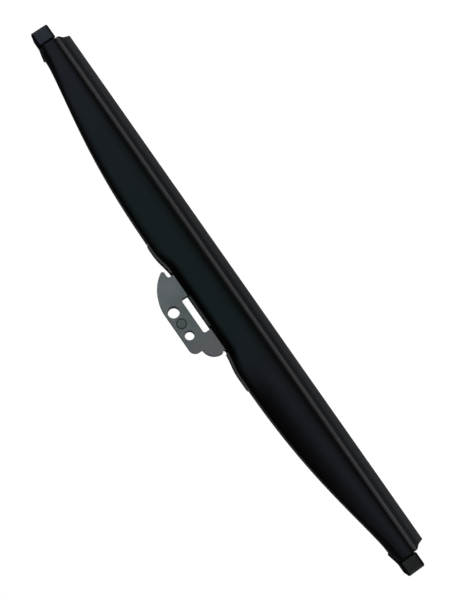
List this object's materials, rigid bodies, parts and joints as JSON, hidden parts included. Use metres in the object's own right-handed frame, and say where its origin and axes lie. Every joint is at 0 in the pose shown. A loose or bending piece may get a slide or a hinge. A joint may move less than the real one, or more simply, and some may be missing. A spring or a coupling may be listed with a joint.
{
  "type": "windscreen wiper blade",
  "caption": "Winter wiper blade: stamped lever frame in a closed rubber boot with end caps, wiping rubber, and a steel connector bracket with hook pin and side pin holes.",
  "frame": {"origin": "middle of the hook pin between the bracket's ears", "axes": "+X along the blade towards the finned side of the bracket, +Y across the blade along the hook pin, +Z from the wiping lip to the connector"},
  "size_m": [0.3522, 0.0182, 0.0444],
  "materials": {
    "boot_rubber": "smooth satin black",
    "wiping_rubber": "matt, dusted with graphite",
    "cap_plastic": "fine grained moulded",
    "bracket_paint": "satin grey paint",
    "lever_paint": "satin black paint",
    "rivet_steel": "plain steel",
    "pin_steel": "painted over with the bracket",
    "spring_steel": "rolled spring strip",
    "bearing_plastic": "natural moulded"
  },
  "bodies": {
    "frame": {"primary_lever": "lever_paint", "connector_bracket": "bracket_paint", "hook_pin": "pin_steel", "bracket_rivet_left": "rivet_steel", "bracket_rivet_right": "rivet_steel", "yoke_rivet_left": "rivet_steel", "yoke_rivet_right": "rivet_steel", "boot": "boot_rubber", "wiping_rubber": "wiping_rubber", "rail_front": "spring_steel", "rail_back": "spring_steel"},
    "left_yoke": {"yoke_left": "lever_paint", "bush_left_front": "bearing_plastic", "bush_left_back": "bearing_plastic", "claw_liner_left_outer": "bearing_plastic", "claw_liner_left_inner": "bearing_plastic", "end_cap_left": "cap_plastic"},
    "right_yoke": {"yoke_right": "lever_paint", "bush_right_front": "bearing_plastic", "bush_right_back": "bearing_plastic", "claw_liner_right_inner": "bearing_plastic", "claw_liner_right_outer": "bearing_plastic", "end_cap_right": "cap_plastic"}
  },
  "joints": [
    {"name": "left_yoke_pivot", "type": "hinge", "parent": "frame", "child": "left_yoke", "pos_m": [-0.098, 0, -0.0209], "axis": [0, 1, 0], "range_deg": [-4, 4], "stiffness_Nm_per_rad": 1.5, "deforming": ["boot", "wiping_rubber", "rail_front", "rail_back"]},
    {"name": "right_yoke_pivot", "type": "hinge", "parent": "frame", "child": "right_yoke", "pos_m": [0.098, 0, -0.0209], "axis": [0, 1, 0], "range_deg": [-4, 4], "stiffness_Nm_per_rad": 1.5, "deforming": ["boot", "wiping_rubber", "rail_front", "rail_back"]}
  ]
}
